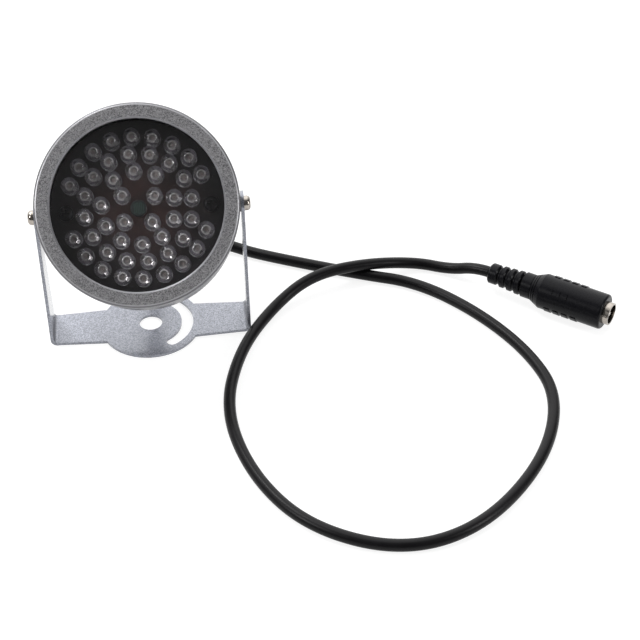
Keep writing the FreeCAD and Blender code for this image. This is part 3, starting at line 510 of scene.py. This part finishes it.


# Lamp board
# Glass-epoxy laminate, milled round and coated with black solder mask. The lamps and the light sensor are
# soldered to its face, and two screws hold it on its standoffs.

# Solder mask: a smooth, slightly glossy black lacquer. It is browner and lighter towards the middle, in
# clouds
# 8 mm wide, and darker towards the rim, and the glass cloth's 0.5 mm weave lifts it faintly. Its IOR is
# 1.5.
board_middle = [0.0, -0.0033, 0.0502]
board_mask = new_material("board_solder_mask")
place = add_node(board_mask, "ShaderNodeTexCoord", {})
from_middle = add_node(
    board_mask, "ShaderNodeVectorMath", {0: (place, "Object"), 1: board_middle}, operation="DISTANCE"
)
towards_middle = add_node(
    board_mask,
    "ShaderNodeMapRange",
    {"Value": (from_middle, 1), "From Min": 0.004, "From Max": 0.027, "To Min": 1.0, "To Max": 0.0},
    interpolation_type="SMOOTHSTEP",
)
cloud = add_node(
    board_mask, "ShaderNodeTexNoise", {"Vector": (place, "Object"), "Scale": 1 / 0.008, "Detail": 2.0}
)
uneven = add_node(board_mask, "ShaderNodeMath", {0: (towards_middle, 0), 1: (cloud, 0)}, operation="MULTIPLY")
warmth = add_node(
    board_mask, "ShaderNodeMapRange", {"Value": (uneven, 0), "From Min": 0.0, "From Max": 0.6}
)
tone = add_node(
    board_mask,
    "ShaderNodeMix",
    {0: (warmth, 0), 6: linear("141112"), 7: linear("35211d")},
    data_type="RGBA",
)
weave = add_node(board_mask, "ShaderNodeTexChecker", {"Vector": (place, "Object"), "Scale": 1 / 0.0005})
skin = add_node(
    board_mask, "ShaderNodeBump", {"Height": (weave, 1), "Strength": 0.15, "Distance": 0.00002}
)
shader = add_node(
    board_mask,
    "ShaderNodeBsdfPrincipled",
    {"Base Color": (tone, 2), "Roughness": 0.35, "Normal": (skin, 0), "IOR": 1.5},
)
add_node(board_mask, "ShaderNodeOutputMaterial", {"Surface": (shader, 0)})
set_material(board_mask, "lamp_board")


# Lamps
# Water-clear epoxy cast over a stamped lead frame. One leg ends in a reflector cup with the chip in it, and
# a gold wire comes over to it from the other leg. The casting's foot is rough where the mould was filled.

# Cast epoxy: clear as water, with an IOR of 1.54. It shrinks a little as it sets, which leaves shallow
# ripples about 3 mm long, and a film of dust on the flanks of the domes shows as a pale sheen.
clear_epoxy = new_material("lamp_clear_epoxy")
place = add_node(clear_epoxy, "ShaderNodeTexCoord", {})
ripple = add_node(
    clear_epoxy, "ShaderNodeTexNoise", {"Vector": (place, "Object"), "Scale": 1 / 0.003, "Detail": 2.0}
)
skin = add_node(
    clear_epoxy, "ShaderNodeBump", {"Height": (ripple, 0), "Strength": 0.1, "Distance": 0.0001}
)
clear = add_node(
    clear_epoxy,
    "ShaderNodeBsdfPrincipled",
    {
        "Base Color": linear("f3f2f4"),
        "Roughness": 0.02,
        "Transmission Weight": 1.0,
        "IOR": 1.54,
        "Normal": (skin, 0),
        "Sheen Weight": 0.6,
        "Sheen Roughness": 0.2,
    },
)
through = add_node(clear_epoxy, "ShaderNodeBsdfTransparent", {"Color": linear("f3f3f5")})
ray = add_node(clear_epoxy, "ShaderNodeLightPath", {})
passed = add_node(
    clear_epoxy, "ShaderNodeMixShader", {0: (ray, "Is Shadow Ray"), 1: (clear, 0), 2: (through, 0)}
)
add_node(clear_epoxy, "ShaderNodeOutputMaterial", {"Surface": (passed, 0)})
set_material(clear_epoxy, "lamp_ring_outer", "lamp_ring_third", "lamp_ring_second", "lamp_ring_inner")

# Silver plate on stamped steel: a pale metal, cloudy at 0.25 mm. It is bright on the legs and the anvil,
# where the strip was rolled, so they glint, and matt on the cup, which is struck after plating, so it stays
# pale from every side.
def silver_plate(name, dark, light, smooth, rough):
    """Silver plate from its two tones and the least and most of its roughness."""
    plate = new_material(name)
    place = add_node(plate, "ShaderNodeTexCoord", {})
    bath = add_node(
        plate, "ShaderNodeTexNoise", {"Vector": (place, "Object"), "Scale": 1 / 0.00025, "Detail": 2.0}
    )
    tone = add_node(
        plate, "ShaderNodeMix", {0: (bath, 0), 6: linear(dark), 7: linear(light)}, data_type="RGBA"
    )
    gloss = add_node(plate, "ShaderNodeMapRange", {"Value": (bath, 0), "To Min": smooth, "To Max": rough})
    shader = add_node(
        plate,
        "ShaderNodeBsdfPrincipled",
        {"Base Color": (tone, 2), "Roughness": (gloss, 0), "Metallic": 1.0},
    )
    add_node(plate, "ShaderNodeOutputMaterial", {"Surface": (shader, 0)})
    return plate


bright_silver = silver_plate(
    "lead_frame_bright_silver", dark="b5b2b0", light="dedbd8", smooth=0.12, rough=0.25
)
matt_silver = silver_plate("lead_frame_matt_silver", dark="a3a09e", light="d6d3d0", smooth=0.5, rough=0.65)

# The chip: aluminium gallium arsenide with a pale contact pad, glossy, cloudy at 0.2 mm. Such crystal bends
# light far more than glass does, with an IOR above 3, of which the epoxy over it leaves about 2.
lamp_chip = new_material("lamp_chip")
place = add_node(lamp_chip, "ShaderNodeTexCoord", {})
facets = add_node(lamp_chip, "ShaderNodeTexNoise", {"Vector": (place, "Object"), "Scale": 1 / 0.0002})
tone = add_node(
    lamp_chip,
    "ShaderNodeMix",
    {0: (facets, 0), 6: linear("7c726c"), 7: linear("b3aaa4")},
    data_type="RGBA",
)
shader = add_node(
    lamp_chip, "ShaderNodeBsdfPrincipled", {"Base Color": (tone, 2), "Roughness": 0.3, "IOR": 2.0}
)
add_node(lamp_chip, "ShaderNodeOutputMaterial", {"Surface": (shader, 0)})

# The rough foot of the casting: frosted grey epoxy that scatters light up into the lamp, in grit of 0.3 mm,
# and reads as a dim ring round the cup. Its IOR is 1.54.
lamp_foot = new_material("lamp_foot_frosted_epoxy")
place = add_node(lamp_foot, "ShaderNodeTexCoord", {})
grit = add_node(
    lamp_foot, "ShaderNodeTexNoise", {"Vector": (place, "Object"), "Scale": 1 / 0.0003, "Detail": 2.0}
)
tone = add_node(
    lamp_foot, "ShaderNodeMix", {0: (grit, 0), 6: linear("5f5d61"), 7: linear("97959a")}, data_type="RGBA"
)
shader = add_node(
    lamp_foot, "ShaderNodeBsdfPrincipled", {"Base Color": (tone, 2), "Roughness": 0.6, "IOR": 1.54}
)
add_node(lamp_foot, "ShaderNodeOutputMaterial", {"Surface": (shader, 0)})

# The head's own frame: its origin on the tilt axis, +Z out through the window and +Y to its top
head_place = Matrix.Translation(head_centre) @ Matrix.Rotation(head_lean, 4, "X")
board_front = 0.0045


def lamp_run(count, turn, middle):
    """Angles, clockwise from the top, of lamps a turn apart on both sides of a middle angle."""
    return [middle + (step - (count - 1) / 2) * turn for step in range(count)]


# Each row's radius and the places of its lamps, with gaps where the board's screws are
lamp_rows = (
    (0.02181, lamp_run(9, 16.8, -1.3) + lamp_run(9, 17.0, 180.0)),
    (0.01659, lamp_run(16, 22.5, 162.4)),
    (0.01136, lamp_run(3, 34.8, -3.0) + lamp_run(7, 33.2, 178.0)),
    (0.00614, lamp_run(2, 108.0, 4.0) + lamp_run(2, 88.0, 184.0)),
)


def add_turned(shape, outline, place, sides, material_index=0):
    """A turned form in a bmesh: (radius, height) points round the place's Z axis."""
    rings = []
    for radius, height in outline:
        count = 1 if radius == 0 else sides
        ring = []
        for side in range(count):
            turn = 2 * math.pi * side / sides
            spot = Vector((radius * math.cos(turn), radius * math.sin(turn), height))
            ring.append(shape.verts.new(place @ spot))
        rings.append(ring)
    for low, high in zip(rings, rings[1:]):
        for side in range(sides):
            after = (side + 1) % sides
            corners = [
                low[side % len(low)],
                low[after % len(low)],
                high[after % len(high)],
                high[side % len(high)],
            ]
            face = shape.faces.new(list(dict.fromkeys(corners)))
            face.material_index = material_index


def add_block(shape, low, high, place, material_index=0):
    """A square-edged block in a bmesh between two corners."""
    block = bmesh.ops.create_cube(shape, size=1)
    low, high = Vector(low), Vector(high)
    size = Matrix.Diagonal((high - low).to_4d())
    middle = Matrix.Translation((low + high) / 2)
    bmesh.ops.transform(shape, matrix=place @ middle @ size, verts=block["verts"])
    for face in {face for vertex in block["verts"] for face in vertex.link_faces}:
        face.material_index = material_index


# The turned forms as (radius, height above the board), and the gold wire's arch from the anvil to the chip
cup = [
    (0.0, 0.0045), (0.00038, 0.0045), (0.00057, 0.00505), (0.00062, 0.00513), (0.00072, 0.00513),
    (0.00078, 0.00506),
]
neck = [(0.00078, 0.00504), (0.0006, 0.0038), (0.0, 0.0037)]
foot = [(0.0005, 0.0001), (0.0005, 0.00022), (0.00245, 0.00022), (0.00245, 0.0001), (0.0005, 0.0001)]
arch = [
    (0.0011, 0, 0.0056), (0.0009, 0, 0.0058), (0.0006, 0, 0.00575), (0.0002, 0, 0.0053), (0.0, 0, 0.0047),
]
wire_radius = 0.000025

# The blocks by their lowest and highest corners. The anvil is the other leg's flat top, and its corners are
# taken from anvil_spot.
cup_leg = ((-0.0007, -0.00025, 0.0006), (0.0004, 0.00025, 0.0038))
anvil_leg = ((0.0010, -0.00025, 0.0006), (0.0014, 0.00025, 0.0053))
anvil = ((-0.0004, -0.0004, -0.0001), (0.0004, 0.0004, 0.0))
anvil_spot = Matrix.Translation((0.00116, 0.0, 0.0056))
chip = ((-0.00025, -0.00025, 0.0045), (0.00025, 0.00025, 0.0047))

# The lamps are pushed in by hand, so each is turned a little from the next. The anvils lean to the right
# and front, and further in the lower half, where each of them catches the light as a white spot.
usual_turn = -36
turn_spread = 12
turn_step = 2.4
anvil_hinge = Vector((-0.36, 0.93, 0.0))
upper_lean = 15
lower_lean = 37
lower_below = 0.003

# A face takes its finish by its place in this row
finishes = (bright_silver, lamp_chip, lamp_foot, matt_silver)
frames = bmesh.new()
for row_radius, angles in lamp_rows:
    for number, angle in enumerate(angles):
        out = math.radians(angle)
        across, up = row_radius * math.sin(out), row_radius * math.cos(out)
        turn = turn_spread * math.sin(turn_step * number) + usual_turn
        facing = Matrix.Rotation(math.radians(turn), 4, "Z")
        lamp = head_place @ Matrix.Translation((across, up, board_front)) @ facing
        add_turned(frames, cup, lamp, sides=24, material_index=finishes.index(matt_silver))
        add_turned(frames, neck, lamp, sides=24)
        add_turned(frames, foot, lamp, sides=32, material_index=finishes.index(lamp_foot))
        add_block(frames, *cup_leg, lamp)
        add_block(frames, *anvil_leg, lamp)
        lean = math.radians(lower_lean if up < lower_below else upper_lean)
        add_block(frames, *anvil, lamp @ anvil_spot @ Matrix.Rotation(lean, 4, anvil_hinge))
        add_block(frames, *chip, lamp, material_index=finishes.index(lamp_chip))
        add_tube(frames, [lamp @ Vector(point) for point in arch], wire_radius, sides=5)
lamp_frames = add_piece("lamp_frames", frames, *finishes, smooth=False)
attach(lamp_frames, "head")


# Light sensor
# A ceramic disc with a winding cadmium sulphide track between two electrodes, sintered on and then dipped
# in clear lacquer. Its two wires are soldered in the middle of the board.

# The lacquered ceramic: a dark green body, clouded at 0.8 mm, under a glossy coat that gives it a thin
# shine. Its IOR is 1.5.
sensor_ceramic = new_material("sensor_lacquered_ceramic")
place = add_node(sensor_ceramic, "ShaderNodeTexCoord", {})
cloud = add_node(sensor_ceramic, "ShaderNodeTexNoise", {"Vector": (place, "Object"), "Scale": 1 / 0.0008})
tone = add_node(
    sensor_ceramic,
    "ShaderNodeMix",
    {0: (cloud, 0), 6: linear("101715"), 7: linear("18221f")},
    data_type="RGBA",
)
shader = add_node(
    sensor_ceramic,
    "ShaderNodeBsdfPrincipled",
    {"Base Color": (tone, 2), "Roughness": 0.4, "IOR": 1.5, "Coat Weight": 0.6, "Coat Roughness": 0.1},
)
add_node(sensor_ceramic, "ShaderNodeOutputMaterial", {"Surface": (shader, 0)})
set_material(sensor_ceramic, "light_sensor")

# The sintered track: a dull grey green, gritty at 0.15 mm, a little lighter than the ceramic, so its bars
# just show. Its IOR under the lacquer is taken as 1.5.
sensor_track = new_material("sensor_cadmium_track")
place = add_node(sensor_track, "ShaderNodeTexCoord", {})
grit = add_node(sensor_track, "ShaderNodeTexNoise", {"Vector": (place, "Object"), "Scale": 1 / 0.00015})
tone = add_node(
    sensor_track,
    "ShaderNodeMix",
    {0: (grit, 0), 6: linear("1f3029"), 7: linear("344f45")},
    data_type="RGBA",
)
shader = add_node(
    sensor_track, "ShaderNodeBsdfPrincipled", {"Base Color": (tone, 2), "Roughness": 0.5, "IOR": 1.5}
)
add_node(sensor_track, "ShaderNodeOutputMaterial", {"Surface": (shader, 0)})

# The track's bars, joined in turn at one end and the other. Their ends follow the disc's round edge, for
# which a bar is taken a little wider than it is.
bars = 6
first_bar = -0.0014
bar_pitch = 0.00056
bar_width = 0.00022
bar_room = 0.00025
disc_radius = 0.0019
edge_share = 0.85
sensor_top = board_front + 0.0021
track_low = sensor_top - 0.00005
track_high = sensor_top + 0.00003
track = bmesh.new()
for bar in range(bars):
    x = first_bar + bar_pitch * bar
    reach = math.sqrt(disc_radius**2 - min(abs(x), abs(x + bar_room)) ** 2) * edge_share
    add_block(track, (x, -reach, track_low), (x + bar_width, reach, track_high), head_place)
    if bar < bars - 1:
        end = reach if bar % 2 else -reach
        low = (x, end - bar_width / 2, track_low)
        high = (x + bar_pitch + bar_width, end + bar_width / 2, track_high)
        add_block(track, low, high, head_place)
sensor_winding = add_piece("sensor_winding", track, sensor_track, smooth=False)
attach(sensor_winding, "head")


# Board fixings
# Two hexagonal brass standoffs, turned and screwed into the drum's back wall, and a black-oxide steel
# screw through the board into each.

# Turned brass: a yellow metal, satin from the lathe, with tones that shift over 0.7 mm, so its shine is
# soft and uneven. Its roughness is 0.2 to 0.4.
brass = new_material("turned_brass")
place = add_node(brass, "ShaderNodeTexCoord", {})
turning = add_node(
    brass, "ShaderNodeTexNoise", {"Vector": (place, "Object"), "Scale": 1 / 0.0007, "Detail": 3.0}
)
tone = add_node(
    brass, "ShaderNodeMix", {0: (turning, 0), 6: linear("9a7a3c"), 7: linear("d4b466")}, data_type="RGBA"
)
gloss = add_node(brass, "ShaderNodeMapRange", {"Value": (turning, 0), "To Min": 0.2, "To Max": 0.4})
shader = add_node(
    brass, "ShaderNodeBsdfPrincipled", {"Base Color": (tone, 2), "Roughness": (gloss, 0), "Metallic": 1.0}
)
add_node(brass, "ShaderNodeOutputMaterial", {"Surface": (shader, 0)})
set_material(brass, "board_standoffs")

# Black oxide on steel, from a hot bath: a thin black skin, patchy over 0.5 mm, through which some of the
# metal's shine comes, so it is 0.6 metallic
black_oxide = new_material("black_oxide_steel")
place = add_node(black_oxide, "ShaderNodeTexCoord", {})
oxide = add_node(
    black_oxide, "ShaderNodeTexNoise", {"Vector": (place, "Object"), "Scale": 1 / 0.0005, "Detail": 3.0}
)
tone = add_node(
    black_oxide,
    "ShaderNodeMix",
    {0: (oxide, 0), 6: linear("161516"), 7: linear("2c2a2b")},
    data_type="RGBA",
)
gloss = add_node(black_oxide, "ShaderNodeMapRange", {"Value": (oxide, 0), "To Min": 0.3, "To Max": 0.5})
shader = add_node(
    black_oxide,
    "ShaderNodeBsdfPrincipled",
    {"Base Color": (tone, 2), "Roughness": (gloss, 0), "Metallic": 0.6},
)
add_node(black_oxide, "ShaderNodeOutputMaterial", {"Surface": (shader, 0)})
set_material(black_oxide, "board_screws")


# Driver parts
# Six lacquered resistors, an electrolytic capacitor in its can and a moulded transistor, soldered to the
# back of the board, and the two cores of the cord's end, which feed them.

# Resistor lacquer: dipped, so it is glossy and a little thicker in places, with a tone that drifts over
# 1 mm. Its IOR is 1.5.
lacquer = new_material("resistor_lacquer")
place = add_node(lacquer, "ShaderNodeTexCoord", {})
dip = add_node(
    lacquer, "ShaderNodeTexNoise", {"Vector": (place, "Object"), "Scale": 1 / 0.001, "Detail": 2.0}
)
tone = add_node(
    lacquer, "ShaderNodeMix", {0: (dip, 0), 6: linear("b69a6c"), 7: linear("cdb487")}, data_type="RGBA"
)
shader = add_node(
    lacquer, "ShaderNodeBsdfPrincipled", {"Base Color": (tone, 2), "Roughness": 0.35, "IOR": 1.5}
)
add_node(lacquer, "ShaderNodeOutputMaterial", {"Surface": (shader, 0)})
set_material(lacquer, "resistors")

# The capacitor's shrunk PVC sleeve: glossy blue black, and a little paler where the heat has stretched it,
# in clouds 2 mm wide. Its IOR is 1.53.
can_sleeve = new_material("capacitor_shrink_sleeve")
place = add_node(can_sleeve, "ShaderNodeTexCoord", {})
shrink = add_node(
    can_sleeve, "ShaderNodeTexNoise", {"Vector": (place, "Object"), "Scale": 1 / 0.002, "Detail": 2.0}
)
tone = add_node(
    can_sleeve,
    "ShaderNodeMix",
    {0: (shrink, 0), 6: linear("22252e"), 7: linear("343945")},
    data_type="RGBA",
)
shader = add_node(
    can_sleeve, "ShaderNodeBsdfPrincipled", {"Base Color": (tone, 2), "Roughness": 0.3, "IOR": 1.53}
)
add_node(can_sleeve, "ShaderNodeOutputMaterial", {"Surface": (shader, 0)})
set_material(can_sleeve, "capacitor")

# The two cores' extruded PVC insulation: one red and one black, each with a satin shine. Its IOR is 1.53.
core_pvc = new_material("core_insulation_pvc")
place = add_node(core_pvc, "ShaderNodeTexCoord", {})
side = add_node(core_pvc, "ShaderNodeSeparateXYZ", {0: (place, "Object")})
right = add_node(core_pvc, "ShaderNodeMath", {0: (side, "X"), 1: 0.0}, operation="GREATER_THAN")
tone = add_node(
    core_pvc, "ShaderNodeMix", {0: (right, 0), 6: linear("1b1b1c"), 7: linear("a3211c")}, data_type="RGBA"
)
shader = add_node(
    core_pvc, "ShaderNodeBsdfPrincipled", {"Base Color": (tone, 2), "Roughness": 0.4, "IOR": 1.53}
)
add_node(core_pvc, "ShaderNodeOutputMaterial", {"Surface": (shader, 0)})
set_material(core_pvc, "inner_cores")

# The cord's end inside the drum, and the solids that the sheath stands for
set_material(cord_pvc, "cord_tail", "cord", "cord_rise")


# Inline jack
# Satin black PVC moulded over the cord's end, with a ribbed strain relief and two grips, round a
# nickel-plated brass sleeve with a pin in the middle.

# Moulded PVC: satin black, slightly bluer than the cord, with the mould's fine skin at 0.6 mm, so it shines
# softly along its top. Its IOR is about 1.53, and handling has dulled it to a low specular level.
jack_pvc = new_material("jack_moulded_pvc")
place = add_node(jack_pvc, "ShaderNodeTexCoord", {})
mould = add_node(
    jack_pvc, "ShaderNodeTexNoise", {"Vector": (place, "Object"), "Scale": 1 / 0.0006, "Detail": 3.0}
)
tone = add_node(
    jack_pvc, "ShaderNodeMix", {0: (mould, 0), 6: linear("0d0d10"), 7: linear("151519")}, data_type="RGBA"
)
gloss = add_node(jack_pvc, "ShaderNodeMapRange", {"Value": (mould, 0), "To Min": 0.22, "To Max": 0.34})
skin = add_node(jack_pvc, "ShaderNodeBump", {"Height": (mould, 0), "Strength": 0.25, "Distance": 0.00004})
shader = add_node(
    jack_pvc,
    "ShaderNodeBsdfPrincipled",
    {
        "Base Color": (tone, 2),
        "Roughness": (gloss, 0),
        "Normal": (skin, 0),
        "IOR": 1.53,
        "Specular IOR Level": 0.12,
    },
)
add_node(jack_pvc, "ShaderNodeOutputMaterial", {"Surface": (shader, 0)})
set_material(jack_pvc, "jack_body", "transistor")
set_material(nickel, "jack_sleeve", "jack_pin")
